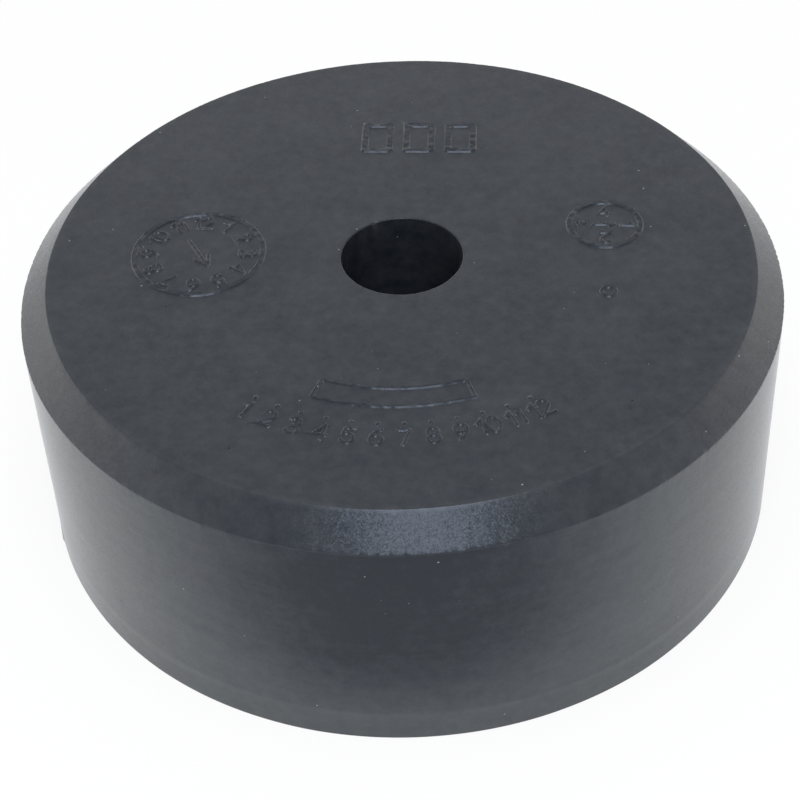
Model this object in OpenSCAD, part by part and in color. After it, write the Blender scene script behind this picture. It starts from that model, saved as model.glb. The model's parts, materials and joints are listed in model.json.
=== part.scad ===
// Impact buffer for a lift pit: a chamfered block of cellular polyurethane with a
// steel anchor plate moulded into its base. A bolt goes down the bore and clamps the
// plate to the pit floor, and the block shortens when the car lands on its top face.
// The origin is the centre of the base, with +Z up towards the strike face.

/* [Block] */
// Outer diameter of the block
block_d = 215; // [180:1:260]
// Height from the base to the strike face
block_h = 80; // [70:1:120]
// Leg of the 45 degree chamfer round the strike face
chamfer = 8; // [3:0.5:14]
// Diameter of the bore that takes the fixing bolt's head and its socket
bore_d = 34; // [30:0.5:44]

/* [Zones of the moulding] */
// Straight height below the chamfer that moves down with the strike face
crown_land = 4; // [1:0.5:10]
// Foam that covers the anchor plate and stays with it
plate_cover = 2; // [1:0.5:6]

/* [Anchor plate] */
// Outer diameter of the plate
plate_d = 90; // [84:1:120]
// Thickness of the plate
plate_t = 8; // [4:0.5:12]
// Clearance hole for the fixing bolt
bolt_hole_d = 17.5; // [13.5:0.5:22]
// Holes in the plate that the foam fills, which lock the two together
key_count = 6; // [3:1:8]
// Diameter of each key hole
key_d = 11; // [6:0.5:12]
// Width of plate left between the bore and each key hole
key_inset = 8.5; // [6:0.5:10]

/* [Hidden] */
$fn = 96;

FOAM = [0.25, 0.26, 0.28];
STEEL = [0.72, 0.73, 0.75];

block_r = block_d / 2;
bore_r = bore_d / 2;
crown_h = chamfer + crown_land;
crown_z = block_h - crown_h;
foot_h = plate_t + plate_cover;
key_circle_r = bore_r + key_inset + key_d / 2;

// How far a cut runs past the face that it opens
past = 1;

// The key holes, or the foam that fills them, standing on z = 0
module keys(height, z = 0) {
    for (i = [0 : key_count - 1])
        rotate([0, 0, i * 360 / key_count])
            translate([key_circle_r, 0, z])
                cylinder(h = height, d = key_d);
}

// Chamfered top of the moulding, which carries the strike face
module strike_crown() {
    color(FOAM)
        rotate_extrude()
            polygon([
                [bore_r, crown_z],
                [block_r, crown_z],
                [block_r, block_h - chamfer],
                [block_r - chamfer, block_h],
                [bore_r, block_h]
            ]);
}

// Length of the moulding between crown and foot, which shortens under load
module cellular_column() {
    color(FOAM)
        rotate_extrude()
            translate([bore_r, foot_h])
                square([block_r - bore_r, crown_z - foot_h]);
}

// Base of the moulding, cast round the plate and through its key holes
module foot_zone() {
    color(FOAM) {
        rotate_extrude()
            polygon([
                [plate_d / 2, 0],
                [block_r, 0],
                [block_r, foot_h],
                [bore_r, foot_h],
                [bore_r, plate_t],
                [plate_d / 2, plate_t]
            ]);
        keys(foot_h);
    }
}

// Steel disc, flush with the base, that the bolt clamps
module anchor_plate() {
    color(STEEL)
        difference() {
            cylinder(h = plate_t, d = plate_d);
            translate([0, 0, -past])
                cylinder(h = plate_t + 2 * past, d = bolt_hole_d);
            keys(plate_t + 2 * past, -past);
        }
}

strike_crown();
cellular_column();
foot_zone();
anchor_plate();
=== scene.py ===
"""Look of a lift pit's impact buffer: a moulded polyurethane block on its steel anchor plate."""
import json
import math

import bmesh
import bpy
import numpy as np
from mathutils import Matrix, Vector, noise
from mathutils.geometry import delaunay_2d_cdt


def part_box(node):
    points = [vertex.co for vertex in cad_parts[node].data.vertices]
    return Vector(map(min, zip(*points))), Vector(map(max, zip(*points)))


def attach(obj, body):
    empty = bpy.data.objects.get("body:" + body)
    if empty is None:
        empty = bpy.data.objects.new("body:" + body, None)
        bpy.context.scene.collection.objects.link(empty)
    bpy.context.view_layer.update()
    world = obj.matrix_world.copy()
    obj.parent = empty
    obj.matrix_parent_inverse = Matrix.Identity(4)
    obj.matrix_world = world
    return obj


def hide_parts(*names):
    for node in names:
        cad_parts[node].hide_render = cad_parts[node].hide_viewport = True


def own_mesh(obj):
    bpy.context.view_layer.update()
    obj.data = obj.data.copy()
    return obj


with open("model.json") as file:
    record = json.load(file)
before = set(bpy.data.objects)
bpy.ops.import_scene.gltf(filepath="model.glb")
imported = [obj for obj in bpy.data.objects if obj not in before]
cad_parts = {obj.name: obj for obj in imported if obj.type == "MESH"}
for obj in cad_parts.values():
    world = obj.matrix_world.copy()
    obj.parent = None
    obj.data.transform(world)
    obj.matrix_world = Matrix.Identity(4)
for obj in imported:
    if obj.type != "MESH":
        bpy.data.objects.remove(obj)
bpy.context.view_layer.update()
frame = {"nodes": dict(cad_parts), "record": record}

MM = 0.001

# Sizes taken from the frame, in metres
mounts = {mount["name"]: mount for mount in frame["record"]["mounts"]}
block_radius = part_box("strike_crown")[1][0]
block_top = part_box("strike_crown")[1][2]
plate_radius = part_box("anchor_plate")[1][0]
plate_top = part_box("anchor_plate")[1][2]
bore_radius = mounts["head_bore"]["dims"]["r_mm"] * MM

# Sizes of the moulding that the frame doesn't state
CHAMFER = 8 * MM
KEY_COUNT = 6
KEY_RADIUS = 5.5 * MM
KEY_INSET = 8.5 * MM
key_circle = bore_radius + KEY_INSET + KEY_RADIUS

# Rounding of the moulding's edges, wider than its skin stands off, so that no arc turns inside out
TOP_EDGE = 0.33 * MM
CHAMFER_EDGE = 0.28 * MM
BASE_EDGE = 0.4 * MM
RIM_EDGE = 0.4 * MM
RECESS_EDGE = 0.3 * MM

# Fineness of the block's mesh
SEGMENTS = 1260
BORE_SEGMENTS = 288
KEY_SEGMENTS = 48
ARC_STEPS = 3
WALL_STEP = 8 * MM
FACE_STEP = 4 * MM
# Rings that hold a flat stretch straight, this far from its ends
SUPPORTS = (0.3 * MM, 0.9 * MM)
MERGE = 0.001 * MM
# Step along the strokes of the marks, and the least gap between the face's points there and elsewhere
STROKE_STEP = 0.45 * MM
STROKE_GAP = 0.11 * MM
FACE_GAP = 1.2 * MM
# Faces that meet at more than this angle, in degrees, are shaded apart
SHARP = 35

# Raised marks: height above the face, and half the width of their sloping sides.
# The face lies that height below the frame's top, so that the marks end at the top.
RELIEF = 0.5 * MM
SLOPE = 0.19 * MM
face_height = block_top - RELIEF
# Rows of points beside the edge of a stroke, in half widths of its slope
SLOPE_ROWS = (-1.6, -1, 0, 1, 1.6, 3)
# The marks are worn in patches: how wide these are, the mean share of their height that is left,
# and how much it varies
WORN_SIZE = 1.6 * MM
WORN_HEIGHT = 0.85
WORN_SWING = 0.3
# The marks stand level for someone who looks from the front, a little turned on the block
MARKS_TURN = math.radians(-3.9)

# Waves of the moulded and cooled skin: their length and height. The skin lies a little inside
# its nominal face, so that no wave passes it.
SLOW_WAVES = (38 * MM, 0.1 * MM)
QUICK_WAVES = (13 * MM, 0.03 * MM)
SKIN_DEPTH = 0.14 * MM

# Edges that are a little ragged: radius, height and how deep the bites go. The first is the
# parting line. The bites in the bore's rim go outwards, so their depth is negative.
RAGGED_EDGES = (
    (block_radius, face_height - CHAMFER, 0.25 * MM),
    (block_radius - CHAMFER, face_height, 0.14 * MM),
    (bore_radius, face_height, -0.2 * MM),
)
RAGGED_REACH = 0.5 * MM
# Size of a bite, and of the stretches with more or deeper ones
BITE_SIZE = 0.9 * MM
BITE_STRETCH = 11 * MM
# Single faults: where, how far they reach and how deep they go. A nick in the bore's rim and a nib of
# flash at the foot both go outwards, so their depths are negative.
FLAWS = (
    ((bore_radius * math.cos(2.02), bore_radius * math.sin(2.02), face_height), 1.5 * MM, -0.5 * MM),
    ((-103.5 * MM, -28.6 * MM, 1.2 * MM), 1.2 * MM, -0.35 * MM),
)

# Share of the skin that the grey film covers, and how much it varies, with painted light and shade in it.
# The line and the chamfer have one share at the front, where they are darker as painted shade, and one
# elsewhere.
FILM_WALL = 0.23
FILM_FOOT_PAINTED_REFLECTION = 0.18
FILM_UNDER_LINE = 0.215
FILM_LINE = (0.222, 0.3)
FILM_CHAMFER = (0.085, 0.14)
FILM_FACE = 0.104
# The share on the marks is painted shade
FILM_MARKS_PAINTED_SHADE = 0.065
# The share along the face's edge is a painted highlight
FILM_EDGE_PAINTED_HIGHLIGHT = 0.12
# The share down the bore is painted shade
FILM_BORE_PAINTED_SHADE = 0.06
FILM_STREAKS = 0.05
FILM_BLOTCHES = 0.06
FILM_GRAIN = 0.16
# A place at the front where the film is thin, as painted shade on the wall and chamfer, which leaves them
# lighter at the left and right as painted light: how far its middle and its end are from a point, on the
# wall and chamfer and on the line. The film is off the wall there, and thinner on the chamfer.
SHADED_FRONT = (-5 * MM, -block_radius, 60 * MM)
SHADED_FRONT_REACH = (18 * MM, 85 * MM)
LINE_REACH = (48 * MM, 115 * MM)
# Height up to which the foot's film reaches, lighter towards the foot as a painted reflection of the lit
# floor, and of a lighter line round the wall. The film changes over LINE_BLEND above and below it, and the
# line is twice LINE_HALF wide.
FOOT_HEIGHT = 30 * MM
LINE_HEIGHT = 9 * MM
LINE_BLEND = 1.5 * MM
LINE_HALF = 2 * MM
# The skin's roughness where it is smoothest and dullest
ROUGHNESS = (0.285, 0.31)
# Spacing of the specks of dust and of the dark pores, and the greatest radius of each
DUST_SPACING = 5.5 * MM
DUST_RADIUS = 0.26 * MM
PORE_SPACING = 15 * MM
PORE_RADIUS = 0.3 * MM
# The mould's grain: how wide its facets are drawn, and how far they lean, most on the chamfer
FACET = 0.35 * MM
FACET_LEAN = 0.045
CHAMFER_LEAN = 0.1

# The camera that the photograph's edges fit: lens in millimetres on a 36 mm sensor, the place of the
# photograph's crop in its picture, where it stands from the face's middle, and its turns in radians
LENS = 89.48
CROP = (-0.075, -0.0475)
CAMERA_PLACE = (0, -438.9 * MM, 348.6 * MM)
TILT, PAN, ROLL = 0.7259, 0.0357, -0.0226

# How much of the table's white comes from its paper and not from the light on it, to the eye and in gloss
WHITE_SHARE = 0.85
GLOSS_SHARE = 0.5
# The paper lies this little below the base, so that the two faces don't coincide
UNDER_BASE = 0.05 * MM
# Brightness of the walls and of the ceiling, which starts this many degrees up, how much brighter
# they are at the left and right, and how much brighter on one side than on the other
WALLS = 1.3
CEILING = 0.425
CEILING_START = 36
SIDES = 0.5
LEAN = 0.55
BRIGHT_SIDE = (-0.25, 0.97, 0)
# How far the lamps are from the face, in metres
LAMP_DISTANCE = 1.5


# Outlines

def rounded(corners):
    """Points of an open outline whose inner corners (r, z, radius) are rounded with arcs."""
    points = [Vector(corners[0][:2])]
    for before, corner, after in zip(corners, corners[1:], corners[2:]):
        middle = Vector(corner[:2])
        back = (Vector(before[:2]) - middle).normalized()
        ahead = (Vector(after[:2]) - middle).normalized()
        half = back.angle(ahead) / 2
        reach = corner[2] / math.tan(half)
        centre = middle + (back + ahead).normalized() * corner[2] / math.sin(half)
        start = middle + back * reach - centre
        turn = start.angle_signed(middle + ahead * reach - centre)
        for step in range(ARC_STEPS + 1):
            points.append(centre + Matrix.Rotation(-turn * step / ARC_STEPS, 2) @ start)
    points.append(Vector(corners[-1][:2]))
    return points


def subdivided(points, step):
    """The same outline with its long stretches cut into steps, and support points at each end."""
    result = [points[0]]
    for a, b in zip(points, points[1:]):
        length = (b - a).length
        if length > 3 * SUPPORTS[-1] and max(a.y, b.y) > 0:
            along = (b - a) / length
            result += [a + along * support for support in SUPPORTS[:-1]]
            near, far = a + along * SUPPORTS[-1], b - along * SUPPORTS[-1]
            count = max(1, round((far - near).length / step))
            result += [near.lerp(far, i / count) for i in range(count + 1)]
            result += [b - along * support for support in SUPPORTS[-2::-1]]
        result.append(b)
    return result


def ring(radius, z, count=SEGMENTS, centre=(0, 0)):
    return [
        Vector((
            centre[0] + radius * math.cos(math.tau * i / count),
            centre[1] + radius * math.sin(math.tau * i / count),
            z,
        ))
        for i in range(count)
    ]


# Raised marks: strokes with round ends, as an engraver cuts them into the mould

def bow(x, y, width, height, start, end, step=15):
    """Points of an elliptical arc, its angles in degrees."""
    count = max(2, round(abs(end - start) / step))
    angles = [math.radians(start + (end - start) * i / count) for i in range(count + 1)]
    return [(x + width * math.cos(a), y + height * math.sin(a)) for a in angles]


# Each digit's strokes, one unit high
DIGITS = {
    "0": [bow(0.3, 0.5, 0.3, 0.5, 0, 360)],
    "1": [[(0.02, 0.76), (0.28, 1), (0.28, 0)]],
    "2": [bow(0.3, 0.7, 0.28, 0.3, 165, -35) + [(0, 0), (0.6, 0)]],
    "3": [bow(0.28, 0.74, 0.27, 0.26, 150, -90) + bow(0.28, 0.24, 0.32, 0.24, 90, -150)],
    "4": [[(0.46, 0), (0.46, 1), (0, 0.3), (0.62, 0.3)]],
    "5": [[(0.54, 1), (0.1, 1), (0.06, 0.54)] + bow(0.28, 0.32, 0.32, 0.32, 130, -150)],
    "6": [bow(0.3, 0.31, 0.3, 0.31, 0, 360), bow(0.62, 0.33, 0.62, 0.67, 180, 100)],
    "7": [[(0, 1), (0.6, 1), (0.22, 0)]],
    "8": [bow(0.3, 0.76, 0.25, 0.24, 0, 360), bow(0.3, 0.26, 0.3, 0.26, 0, 360)],
    "9": [bow(0.3, 0.69, 0.3, 0.31, 0, 360), bow(-0.02, 0.67, 0.62, 0.67, 0, -80)],
}
DIGIT_WIDTH = 0.6
NARROW_DIGITS = {"1": 0.3}
DIGIT_GAP = 0.2


def moved(strokes, scale=1, turn=0, at=(0, 0)):
    """Strokes scaled, turned and moved, in that order."""
    c, s = math.cos(turn) * scale, math.sin(turn) * scale
    return [
        ([(at[0] + x * c - y * s, at[1] + x * s + y * c) for x, y in line], half)
        for line, half in strokes
    ]


def number(value, height, half, at, turn=0):
    """A number's strokes, centred on a point."""
    strokes = []
    pen = 0
    for digit in str(value):
        strokes += moved([(line, half) for line in DIGITS[digit]], at=(pen, -0.5))
        pen += NARROW_DIGITS.get(digit, DIGIT_WIDTH) + DIGIT_GAP
    centred = moved(strokes, at=((DIGIT_GAP - pen) / 2, 0))
    return moved(centred, height, turn, at)


def loop(points, half):
    return [(points + points[:1], half)]


def polar(radius, angle):
    """A point at an angle in degrees, clockwise from the top."""
    a = math.radians(90 - angle)
    return radius * math.cos(a), radius * math.sin(a)


def dial(radius, values, height, half, arrow, pointing):
    """A ring with numbers round its inside and an arrow at its centre."""
    rim = 0.8 * MM
    strokes = loop(bow(0, 0, radius - rim, radius - rim, 0, 350, 10), rim)
    inner = radius - 2 * rim - 1.1 * MM - height / 2
    for i, value in enumerate(values):
        angle = 360 * (i + 1) / len(values)
        strokes += number(value, height, half, polar(inner, angle), -math.radians(angle))
    head = [(-0.3 * arrow, 0.35 * arrow), (0, arrow), (0.3 * arrow, 0.35 * arrow)]
    pointer = [([(0, -arrow), (0, arrow)], half * 1.3), (head, half * 1.3)]
    return strokes + moved(pointer, turn=-math.radians(pointing))


def blank_frame(width, height, half):
    """An empty upright frame."""
    x, y = width / 2 - half, height / 2 - half
    return loop([(-x, -y), (x, -y), (x, y), (-x, y)], half)


def blank_bow(radius, depth, spread, half):
    """An empty frame bent round the block's centre, at the front."""
    outer = [polar(radius + depth / 2, 180 + spread * i / 8) for i in range(-8, 9)]
    inner = [polar(radius - depth / 2, 180 + spread * i / 8) for i in range(-8, 9)]
    return loop(outer + inner[::-1], half)


def month_scale(radius, height, half, spread):
    """Numbers 1 to 12 along a bow at the front, with a pip over each."""
    strokes = []
    for i in range(12):
        angle = 180 - spread * (2 * i / 11 - 1)
        turn = math.radians(180 - angle)
        strokes += number(i + 1, height, half, polar(radius, angle), turn)
        pip = polar(radius - height / 2 - 2.2 * MM, angle)
        strokes.append(([pip, pip], half * 1.4))
    return strokes


def all_marks():
    """A month dial at the left, a small dial and a ring at the right, frames behind, a scale in front."""
    months = dial(19 * MM, range(1, 13), height=4.8 * MM, half=0.42 * MM, arrow=6.5 * MM, pointing=150)
    marks = moved(months, at=(-57.5 * MM, 1 * MM))
    quarters = dial(11 * MM, range(1, 5), height=4.4 * MM, half=0.42 * MM, arrow=2.6 * MM, pointing=90)
    marks += moved(quarters, at=(57.5 * MM, 14 * MM))
    small_ring = loop(bow(0, 0, 2 * MM, 2 * MM, 0, 330, step=30), 0.5 * MM)
    marks += moved(small_ring, at=(57.5 * MM, -16 * MM))
    for i in (-1, 0, 1):
        marks += moved(blank_frame(9.5 * MM, 15 * MM, half=1 * MM), at=(3 * MM + i * 12.5 * MM, 57 * MM))
    marks += blank_bow(59 * MM, depth=7 * MM, spread=20, half=0.5 * MM)
    marks += month_scale(74 * MM, height=5.4 * MM, half=0.45 * MM, spread=31)
    return moved(marks, turn=MARKS_TURN)


def evenly(line, step):
    """Points a step apart along a line, each with the direction there."""
    result = []
    for a, b in zip(line, line[1:]):
        a, b = Vector(a), Vector(b)
        length = (b - a).length
        if length == 0:
            continue
        count = max(1, round(length / step))
        result += [(a.lerp(b, i / count), (b - a) / length) for i in range(count)]
    if result:
        result.append((Vector(line[-1]), result[-1][1]))
    return result


def mark_points(marks):
    """Rows of points along each stroke's slopes, so that the mesh follows its sides."""
    points = []
    for line, half in marks:
        rows = [max(half + k * SLOPE, 0) for k in SLOPE_ROWS]
        for point, along in evenly(line, STROKE_STEP):
            points.append(point)
            across = Vector((-along.y, along.x))
            points += [point + across * row * side for row in rows for side in (-1, 1)]
        for end in (Vector(line[0]), Vector(line[-1])):
            for row in rows:
                count = max(6, round(math.tau * row / STROKE_STEP))
                points += [p.xy for p in ring(row, 0, count, end)]
    return points


def thinned(points, gap, taken=()):
    """The points that keep a gap from those before them."""
    cells = {}

    def crowded(p):
        x, y = math.floor(p[0] / gap), math.floor(p[1] / gap)
        near = (q for i in (-1, 0, 1) for j in (-1, 0, 1) for q in cells.get((x + i, y + j), ()))
        return any((p[0] - q[0]) ** 2 + (p[1] - q[1]) ** 2 < gap * gap for q in near)

    kept = []
    for fixed, group in ((True, taken), (False, points)):
        for p in group:
            if fixed or not crowded(p):
                cells.setdefault((math.floor(p[0] / gap), math.floor(p[1] / gap)), []).append(p)
                if not fixed:
                    kept.append(p)
    return kept


def relief(points, marks):
    """Height of the raised marks at each point."""
    height = np.zeros(len(points))
    for line, half in marks:
        line = np.array(line)
        reach = half + SLOPE
        low, high = line.min(axis=0) - reach, line.max(axis=0) + reach
        near = np.flatnonzero(((points > low) & (points < high)).all(axis=1))
        if not len(near):
            continue
        p = points[near]
        gap = np.full(len(near), np.inf)
        for a, b in zip(line, line[1:]):
            ab = b - a
            along = np.clip((p - a) @ ab / max(ab @ ab, 1e-18), 0, 1)
            gap = np.minimum(gap, np.linalg.norm(p - a - along[:, None] * ab, axis=1))
        share = np.clip((half + SLOPE - gap) / (2 * SLOPE), 0, 1)
        height[near] = np.maximum(height[near], RELIEF * share)
    wear = [WORN_HEIGHT + WORN_SWING * noise.noise(Vector((*p, 0)) / WORN_SIZE) for p in points]
    return height * np.clip(wear, 0, 1)


# The block

def disc(mesh, z, outer, holes, points):
    """Fills a flat disc of radius outer, with round holes (centre, radius, count), through the points."""
    rings = [ring(outer, z)] + [ring(radius, z, count, centre) for centre, radius, count in holes]
    flat = [v.xy for loop_points in rings for v in loop_points]
    edges = []
    start = 0
    for loop_points in rings:
        n = len(loop_points)
        edges += [(start + i, start + (i + 1) % n) for i in range(n)]
        start += n
    found, _, faces, *_ = delaunay_2d_cdt(flat + list(points), edges, [], 0, MERGE, False)
    vertices = [mesh.verts.new((p.x, p.y, z)) for p in found]
    for face in faces:
        middle = sum((found[i] for i in face), Vector((0, 0))) / len(face)
        inside = any(
            (middle - Vector(centre)).length < radius * math.cos(math.pi / count)
            for centre, radius, count in holes
        )
        if not inside:
            mesh.faces.new([vertices[i] for i in face])


def lathe(mesh, outline, count=SEGMENTS, centre=(0, 0)):
    """Turns an outline of (r, z) points about an upright axis."""
    rows = [[mesh.verts.new(p) for p in ring(r, z, count, centre)] for r, z in outline]
    for upper, lower in zip(rows, rows[1:]):
        for i in range(count):
            j = (i + 1) % count
            mesh.faces.new((upper[i], lower[i], lower[j], upper[j]))
    return rows[-1]


def lattice(step, inner, outer):
    """Points of a triangular lattice between two radii."""
    count = math.ceil(outer / step)
    points = []
    for row in range(-count, count + 1):
        for column in range(-count, count + 1):
            p = Vector(((column + 0.5 * (row % 2)) * step, row * step * math.sqrt(0.75)))
            if inner < p.length < outer:
                points.append(p)
    return points


def unevenness(p):
    """How far a moulded and cooled skin stands off its nominal face, in metres: always inwards."""
    slow = noise.noise(p / SLOW_WAVES[0])
    quick = noise.noise(p / QUICK_WAVES[0] + Vector((5, 3, 7)))
    return slow * SLOW_WAVES[1] + quick * QUICK_WAVES[1] - SKIN_DEPTH


def standing_off(vertex):
    """The way in which a vertex of the skin moves. The foot's edge stays on the ground."""
    if vertex.co.z > 1 * MM:
        return vertex.normal
    return Vector((vertex.co.x, vertex.co.y, 0)).normalized()


def flaws(p):
    """Small faults of the moulding at a point: its ragged edges, a nick and a nib."""
    shift = Vector()
    outwards = Vector((p.x, p.y, 0)).normalized()
    for radius, height, depth in RAGGED_EDGES:
        near = 1 - math.hypot(p.xy.length - radius, p.z - height) / RAGGED_REACH
        if near > 0:
            # Each bite runs straight up and down, so its depth doesn't change with the height
            level = outwards * radius
            bite = noise.noise(level / BITE_SIZE) + 0.3 * noise.noise(level / BITE_STRETCH) + 0.1
            shift -= outwards * min(1, 1.5 * near) * max(bite, 0) * depth
    for place, reach, depth in FLAWS:
        near = 1 - (p - Vector(place)).length / reach
        if near > 0:
            shift -= outwards * depth * near * near * (3 - 2 * near)
    return shift


def block_mesh():
    """The whole moulding as one closed skin."""
    mesh = bmesh.new()
    marks = all_marks()
    corners = [
        (block_radius - 2 * CHAMFER, face_height, 0),
        (block_radius - CHAMFER, face_height, TOP_EDGE),
        (block_radius, face_height - CHAMFER, CHAMFER_EDGE),
        (block_radius, 0, BASE_EDGE),
        (plate_radius, 0, RECESS_EDGE),
        (plate_radius, plate_top, 0),
    ]
    outside = rounded(corners)[1:]
    lathe(mesh, subdivided(outside, WALL_STEP))
    corners = [
        (bore_radius, plate_top, 0),
        (bore_radius, face_height, RIM_EDGE),
        (bore_radius + CHAMFER, face_height, 0),
    ]
    wall = rounded(corners)[:-1]
    lathe(mesh, subdivided(wall, WALL_STEP), BORE_SEGMENTS)

    face_outer = outside[0].x
    face_inner = wall[-1].x
    guards = ring(face_outer - SUPPORTS[0], 0) + ring(face_inner + SUPPORTS[0], 0, BORE_SEGMENTS // 2)
    inside = thinned(mark_points(marks), STROKE_GAP)
    spare = thinned(lattice(FACE_STEP, face_inner + 2 * MM, face_outer - 2 * MM), FACE_GAP, inside)
    points = [p.xy for p in guards] + inside + spare
    disc(mesh, face_height, face_outer, [((0, 0), face_inner, BORE_SEGMENTS)], points)

    keys = []
    for i in range(KEY_COUNT):
        angle = math.tau * i / KEY_COUNT
        keys.append((key_circle * math.cos(angle), key_circle * math.sin(angle)))
    holes = [((0, 0), bore_radius, BORE_SEGMENTS)] + [(centre, KEY_RADIUS, KEY_SEGMENTS) for centre in keys]
    disc(mesh, plate_top, plate_radius, holes, [])
    for centre in keys:
        # The foam in a key hole ends a little short of the base, and its middle has sunk
        plug = [
            (KEY_RADIUS, plate_top),
            (KEY_RADIUS, 0.4 * MM),
            (KEY_RADIUS - 0.3 * MM, 0.1 * MM),
            (KEY_RADIUS - 1.2 * MM, 0.15 * MM),
            (KEY_RADIUS * 0.4, 0.4 * MM),
        ]
        mesh.faces.new(lathe(mesh, plug, KEY_SEGMENTS, centre))

    bmesh.ops.remove_doubles(mesh, verts=mesh.verts, dist=MERGE)
    bmesh.ops.recalc_face_normals(mesh, faces=mesh.faces)

    on_top = [v for v in mesh.verts if v.co.z > face_height - MERGE]
    heights = relief(np.array([v.co.xy for v in on_top]), marks)
    mesh.normal_update()
    skin = [v for v in mesh.verts if v.co.z > 0.5 * MM or v.co.xy.length > block_radius - 1 * MM]
    shifts = [standing_off(v) * unevenness(v.co) + flaws(v.co) for v in skin]
    for vertex, height in zip(on_top, heights):
        vertex.co.z += height
    for vertex, shift in zip(skin, shifts):
        vertex.co += shift
    return mesh


def in_bore(face):
    return face.center.xy.length < bore_radius + RIM_EDGE and face.center.z > plate_top + MERGE


def piece(name, mesh, body):
    """Makes an object of a mesh, smooth-shaded up to the sides of the marks, riding on a body."""
    data = bpy.data.meshes.new(name)
    mesh.to_mesh(data)
    mesh.free()
    for face in data.polygons:
        face.use_smooth = True
    data.set_sharp_from_angle(angle=math.radians(SHARP))
    rest = data.attributes.new("rest_place", "FLOAT_VECTOR", "POINT")
    rest.data.foreach_set("vector", [c for v in data.vertices for c in v.co])
    made = bpy.data.objects.new(name, data)
    bpy.context.scene.collection.objects.link(made)
    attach(made, body)
    return made


# Materials

def srgb(text):
    """A linear colour from an sRGB hex value."""
    parts = [int(text[i:i + 2], 16) / 255 for i in (1, 3, 5)]
    linear = [c / 12.92 if c <= 0.04045 else ((c + 0.055) / 1.055) ** 2.4 for c in parts]
    return (*linear, 1)


def add(tree, kind, inputs=None, **settings):
    """Adds a node with its settings, and sets or links its inputs. A node stands for its first output."""
    node = tree.nodes.new("ShaderNode" + kind)
    for name, value in settings.items():
        setattr(node, name, value)
    for name, value in (inputs or {}).items():
        if isinstance(value, bpy.types.Node):
            value = value.outputs[0]
        if isinstance(value, bpy.types.NodeSocket):
            tree.links.new(value, node.inputs[name])
        else:
            node.inputs[name].default_value = value
    return node


def empty_material(name):
    made = bpy.data.materials.new(name)
    made.use_nodes = True
    made.node_tree.nodes.clear()
    return made, made.node_tree


def film_on_skin(tree, place, height, streaks, blotches):
    """Share of the skin that the grey film covers at each place, with painted light and shade in it."""
    flat = add(tree, "VectorMath", {0: place, 1: (1, 1, 0)}, operation="MULTIPLY")
    radius = add(tree, "VectorMath", {0: flat}, operation="LENGTH").outputs["Value"]
    from_shaded_front = add(tree, "VectorMath", {0: place, 1: SHADED_FRONT}, operation="DISTANCE").outputs["Value"]
    over_line = add(tree, "Math", {0: height, 1: LINE_HEIGHT}, operation="SUBTRACT")
    off_line = add(tree, "Math", {0: over_line}, operation="ABSOLUTE")
    shares = []
    for reach, film_and_painted_light in ((SHADED_FRONT_REACH, FILM_CHAMFER), (LINE_REACH, FILM_LINE)):
        inputs = {0: from_shaded_front, 1: reach[0], 2: reach[1], 3: film_and_painted_light[0], 4: film_and_painted_light[1]}
        shares.append(add(tree, "MapRange", inputs, interpolation_type="SMOOTHSTEP"))
    chamfer, line = shares

    # The film on the wall, then the whole of it: from the face's middle out to its edge, down the chamfer to
    # the wall, and down the bore. Each row blends between two places, and several rows paint light or shade.
    edge = face_height - CHAMFER
    face_radius = block_radius - CHAMFER
    wall = 0
    for value, start, end, share in (
        # Off the wall at the front: painted shade, which leaves the left and right lighter as painted light
        (from_shaded_front, *SHADED_FRONT_REACH, FILM_WALL),
        # Lighter towards the foot and below the line: a painted reflection of the lit floor
        (height, FOOT_HEIGHT, 0, FILM_FOOT_PAINTED_REFLECTION),
        (height, LINE_HEIGHT + LINE_BLEND, LINE_HEIGHT - LINE_BLEND, FILM_UNDER_LINE),
        (off_line, LINE_HALF, 0, line),
    ):
        inputs = {0: value, 1: start, 2: end, 3: wall, 4: share}
        wall = add(tree, "MapRange", inputs, interpolation_type="SMOOTHSTEP")
    film_and_painted_light = FILM_FACE
    for value, start, end, share in (
        # Darker on the marks: painted shade on their sides
        (height, face_height, face_height + 0.15 * MM, FILM_MARKS_PAINTED_SHADE),
        # Lighter along the face's edge: a painted highlight
        (radius, face_radius - 2 * MM, face_radius - 0.5 * MM, FILM_EDGE_PAINTED_HIGHLIGHT),
        (height, face_height - 0.3 * MM, face_height - 1 * MM, chamfer),
        (height, edge, edge - 0.8 * MM, wall),
        # Darker down the bore: painted shade
        (radius, bore_radius + 1 * MM, bore_radius + 0.2 * MM, FILM_BORE_PAINTED_SHADE),
    ):
        inputs = {0: value, 1: start, 2: end, 3: film_and_painted_light, 4: share}
        film_and_painted_light = add(tree, "MapRange", inputs, interpolation_type="SMOOTHSTEP")

    # It lies in streaks on the wall, and in blotches and grain from 4 mm down to a quarter of a
    # millimetre everywhere
    inputs = {"Vector": place, "Scale": 1 / (4 * MM), "Detail": 4, "Roughness": 0.75}
    grain = add(tree, "TexNoise", inputs)
    on_wall = add(tree, "MapRange", {0: height, 1: face_height - 9 * MM, 2: edge, 3: FILM_STREAKS, 4: 0})
    for pattern, strength in ((streaks, on_wall), (blotches, FILM_BLOTCHES), (grain, FILM_GRAIN)):
        swing = add(tree, "Math", {0: pattern, 1: 0.5}, operation="SUBTRACT")
        film_and_painted_light = add(tree, "Math", {0: swing, 1: strength, 2: film_and_painted_light}, operation="MULTIPLY_ADD")
    return add(tree, "Math", {0: film_and_painted_light, 1: 0}, operation="MAXIMUM")


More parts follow.
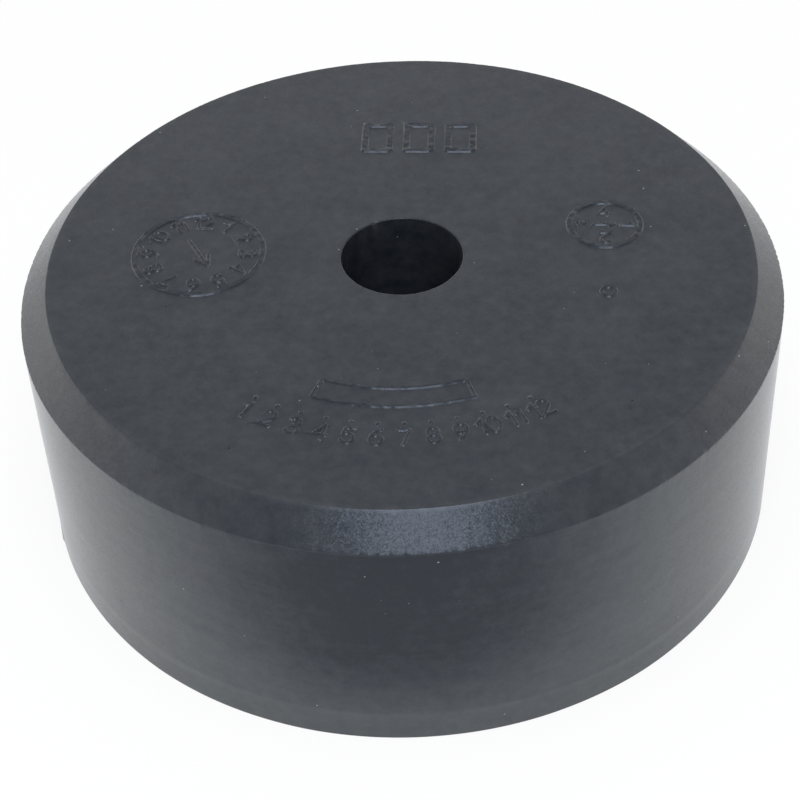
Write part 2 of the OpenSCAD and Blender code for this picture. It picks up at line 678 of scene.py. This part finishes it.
def skin_colour(tree, place, film_and_painted_light):
    """Black foam under the grey film, whose share also holds painted light and shade, with dust and lint on
    it and a few dark pores in it.
    """
    # The film turns from bluish to greenish grey where it is thick
    clouds = add(tree, "TexNoise", {"Vector": place, "Scale": 1 / (9 * MM), "Detail": 2})
    thick = add(tree, "Math", {0: film_and_painted_light, 1: 4, 2: clouds}, operation="MULTIPLY_ADD")
    thick = add(tree, "MapRange", {0: thick, 1: 0.3, 2: 1.9})
    grey = add(tree, "Mix", {0: thick, 6: srgb("#888690"), 7: srgb("#8f948c")}, data_type="RGBA").outputs[2]
    colour = add(tree, "Mix", {0: film_and_painted_light, 6: srgb("#10161d"), 7: grey}, data_type="RGBA").outputs[2]

    spots = add(tree, "TexVoronoi", {"Vector": place, "Scale": 1 / DUST_SPACING})
    spread = add(tree, "SeparateXYZ", {0: spots.outputs["Color"]})
    reach = add(tree, "Math", {0: spread, 1: DUST_RADIUS / DUST_SPACING}, operation="MULTIPLY")
    dust = add(tree, "Math", {0: spots, 1: reach}, operation="LESS_THAN")
    colour = add(tree, "Mix", {0: dust, 6: colour, 7: srgb("#87888b")}, data_type="RGBA").outputs[2]
    aside = add(tree, "VectorMath", {0: place, 1: (31 * MM, 17 * MM, 23 * MM)})
    spots = add(tree, "TexVoronoi", {"Vector": aside, "Scale": 1 / PORE_SPACING})
    pores = add(tree, "Math", {0: spots, 1: PORE_RADIUS / PORE_SPACING}, operation="LESS_THAN")
    return add(tree, "Mix", {0: pores, 6: colour, 7: srgb("#060607")}, data_type="RGBA").outputs[2]


def skin_normal(tree, place, height, streaks):
    """The blasted mould's grain, as small facets that lean every way, and faint flow lines.

    The facets are drawn more than twice as coarse as they are, so that they show.
    """
    edge = face_height - CHAMFER
    lean = FACET_LEAN
    for start, end, strength in (
        (edge - 1 * MM, edge, CHAMFER_LEAN),
        (face_height - 0.9 * MM, face_height - 0.5 * MM, FACET_LEAN),
    ):
        lean = add(tree, "MapRange", {0: height, 1: start, 2: end, 3: lean, 4: strength})
    facets = add(tree, "TexVoronoi", {"Vector": place, "Scale": 1 / FACET}).outputs["Color"]
    tilt = add(tree, "VectorMath", {0: facets, 1: (0.5, 0.5, 0.5)}, operation="SUBTRACT")
    tilt = add(tree, "VectorMath", {0: tilt, "Scale": lean}, operation="SCALE")
    flow = add(tree, "Bump", {"Height": streaks, "Strength": 0.3, "Distance": 0.1 * MM})
    normal = add(tree, "VectorMath", {0: flow, 1: tilt})
    return add(tree, "VectorMath", {0: normal}, operation="NORMALIZE")


def moulded_polyurethane(name, sheen):
    """Black cellular polyurethane with the closed skin it gets from a blasted steel mould.

    The skin is a satin black that a thin grey film of mould release dulls and makes pale at a slant. The
    film is thickest on the wall, where it lies in soft streaks. Its share also holds painted light and
    shade: painted shade at the front, on the marks and down the bore, painted light at the left and right, a
    painted reflection of the floor towards the foot, and a painted highlight along the face's edge. Fine
    grain makes the skin sparkle where it mirrors a lamp.
    """
    made, tree = empty_material(name)
    place = add(tree, "Attribute", attribute_name="rest_place").outputs["Vector"]
    height = add(tree, "SeparateXYZ", {0: place}).outputs["Z"]

    # Streaks round the wall about 3 mm high and 34 mm long, and blotches of 14 mm
    scale = [1 / (size * MM) for size in (34, 34, 3)]
    along = add(tree, "Mapping", {0: place, "Location": (0, 7, 2), "Scale": scale})
    streaks = add(tree, "TexNoise", {"Vector": along, "Scale": 1, "Detail": 2})
    blotches = add(tree, "TexNoise", {"Vector": place, "Scale": 1 / (14 * MM), "Detail": 3})

    film_and_painted_light = film_on_skin(tree, place, height, streaks, blotches)
    dull = add(tree, "MapRange", {0: blotches, 1: 0.3, 2: 0.7, 3: ROUGHNESS[0], 4: ROUGHNESS[1]})
    skin = add(tree, "BsdfPrincipled", {
        "Base Color": skin_colour(tree, place, film_and_painted_light),
        "Roughness": dull,
        "IOR": 1.42,
        "Specular Tint": srgb("#e6f2ff"),
        "Sheen Weight": sheen,
        "Sheen Roughness": 0.28,
        "Normal": skin_normal(tree, place, height, streaks),
    })
    add(tree, "OutputMaterial", {"Surface": skin})
    return made


def zinc_plated_steel():
    """Steel disc turned flat on a lathe and zinc-plated: rings that catch the light, faintly blue."""
    made, tree = empty_material("zinc_plated_steel")
    place = add(tree, "TexCoord").outputs["Object"]
    flat = add(tree, "VectorMath", {0: place, 1: (1, 1, 0)}, operation="MULTIPLY")
    radius = add(tree, "VectorMath", {0: flat}, operation="LENGTH").outputs["Value"]

    # The tool moved 0.2 mm a turn, drawn at 0.5 mm so that the rings show
    rings = add(tree, "TexNoise", {"W": radius, "Scale": 1 / (0.5 * MM), "Detail": 2}, noise_dimensions="1D")
    turned = add(tree, "Bump", {"Height": rings, "Strength": 0.5, "Distance": 0.03 * MM})
    clouds = add(tree, "TexNoise", {"Vector": place, "Scale": 1 / (12 * MM), "Detail": 3})
    coat = add(tree, "Mix", {0: clouds, 6: srgb("#969ba1"), 7: srgb("#adaeac")}, data_type="RGBA").outputs[2]
    dull = add(tree, "MapRange", {0: clouds, 1: 0.3, 2: 0.7, 3: 0.3, 4: 0.42})
    steel = add(tree, "BsdfPrincipled", {
        "Base Color": coat,
        "Metallic": 1,
        "Roughness": dull,
        "Normal": turned,
    })
    add(tree, "OutputMaterial", {"Surface": steel})
    return made


# Camera, floor and light

def set_camera():
    """Looks down at the block from the front, as the photograph does."""
    camera = bpy.data.objects.new("camera", bpy.data.cameras.new("camera"))
    bpy.context.scene.collection.objects.link(camera)
    bpy.context.scene.camera = camera
    camera.data.sensor_width = 36
    camera.data.lens = LENS
    camera.data.shift_x, camera.data.shift_y = CROP
    camera.location = Vector((0, 0, face_height)) + Vector(CAMERA_PLACE)
    ahead = Vector((math.sin(PAN) * math.cos(TILT), math.cos(PAN) * math.cos(TILT), -math.sin(TILT)))
    turn = ahead.to_track_quat("-Z", "Y").to_matrix().to_4x4() @ Matrix.Rotation(ROLL, 4, "Z")
    camera.rotation_euler = turn.to_euler()


def set_floor():
    """A table top of white paper, with the block's soft shadow on it."""
    made, tree = empty_material("white_table")
    lit = add(tree, "BsdfDiffuse", {"Color": srgb("#f4f4f4")})
    white = add(tree, "Emission", {"Color": (1, 1, 1, 1), "Strength": 1})
    ray = add(tree, "LightPath").outputs
    share = add(tree, "Math", {0: ray["Is Glossy Ray"], 1: ray["Is Transmission Ray"]}, operation="MAXIMUM")
    share = add(tree, "Math", {0: share, 1: GLOSS_SHARE}, operation="MULTIPLY")
    inputs = {0: ray["Is Camera Ray"], 1: WHITE_SHARE, 2: share}
    share = add(tree, "Math", inputs, operation="MULTIPLY_ADD")
    mixed = add(tree, "MixShader", {0: share, 1: lit, 2: white})
    add(tree, "OutputMaterial", {"Surface": mixed})
    mesh = bmesh.new()
    bmesh.ops.create_grid(mesh, x_segments=1, y_segments=1, size=20)
    data = bpy.data.meshes.new("floor")
    mesh.to_mesh(data)
    mesh.free()
    data.materials.append(made)
    floor = bpy.data.objects.new("floor", data)
    floor.location.z = -UNDER_BASE
    bpy.context.scene.collection.objects.link(floor)


def set_world():
    """White walls round the table, brightest at the left and right, and a dim ceiling."""
    world = bpy.data.worlds.new("studio")
    bpy.context.scene.world = world
    world.use_nodes = True
    tree = world.node_tree
    tree.nodes.clear()
    direction = add(tree, "TexCoord").outputs["Generated"]
    along = add(tree, "SeparateXYZ", {0: direction}).outputs
    inputs = {0: along["Z"], 1: 0, 2: math.sin(math.radians(CEILING_START)), 3: WALLS, 4: CEILING}
    walls = add(tree, "MapRange", inputs, interpolation_type="SMOOTHSTEP")
    square = add(tree, "Math", {0: along["X"], 1: along["X"]}, operation="MULTIPLY")
    sides = add(tree, "Math", {0: square, 1: SIDES, 2: 1 - SIDES / 4}, operation="MULTIPLY_ADD")
    side = add(tree, "VectorMath", {0: direction, 1: BRIGHT_SIDE}, operation="DOT_PRODUCT").outputs["Value"]
    lean = add(tree, "Math", {0: side, 1: LEAN, 2: sides}, operation="MULTIPLY_ADD")
    level = add(tree, "Math", {0: walls, 1: lean}, operation="MULTIPLY")
    inputs = {0: square, 6: (1, 1, 1, 1), 7: srgb("#fff5ee")}
    warmth = add(tree, "Mix", inputs, data_type="RGBA").outputs[2]
    light = add(tree, "Background", {"Color": warmth, "Strength": level})
    add(tree, "OutputWorld", {"Surface": light})


def soft_lamp(name, azimuth, elevation, size, level, colour):
    """A round soft lamp that faces the block. Its azimuth counts from the right, against the clock."""
    lamp = bpy.data.lights.new(name, "AREA")
    lamp.shape = "DISK"
    lamp.size = size
    lamp.energy = level * (math.pi * size / 2) ** 2
    lamp.color = srgb(colour)[:3]
    made = bpy.data.objects.new(name, lamp)
    bpy.context.scene.collection.objects.link(made)
    a, e = math.radians(azimuth), math.radians(elevation)
    way = Vector((math.cos(e) * math.cos(a), math.cos(e) * math.sin(a), math.sin(e)))
    made.location = Vector((0, 0, block_top)) + way * LAMP_DISTANCE
    made.rotation_euler = way.to_track_quat("Z", "Y").to_euler()


bpy.context.scene.view_settings.view_transform = "Standard"
set_camera()
set_floor()
set_world()
soft_lamp("front_lamp", azimuth=273, elevation=52, size=0.9, level=6.9, colour="#e9effb")
soft_lamp("ceiling_lamp", azimuth=270, elevation=82, size=0.79, level=5, colour="#ffffff")

block = piece("buffer_block", block_mesh(), "base")
# The film gives the outside a sheen. Down the bore the material's copy has no sheen and the film is thinner,
# as painted shade.
block.data.materials.append(moulded_polyurethane("moulded_polyurethane", 0.3))
block.data.materials.append(moulded_polyurethane("moulded_polyurethane_shaded_bore", 0.0))
for face in block.data.polygons:
    face.material_index = int(in_bore(face))
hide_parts("strike_crown", "cellular_column", "foot_zone")
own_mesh(block)

frame["nodes"]["anchor_plate"].data.materials.clear()
frame["nodes"]["anchor_plate"].data.materials.append(zinc_plated_steel())
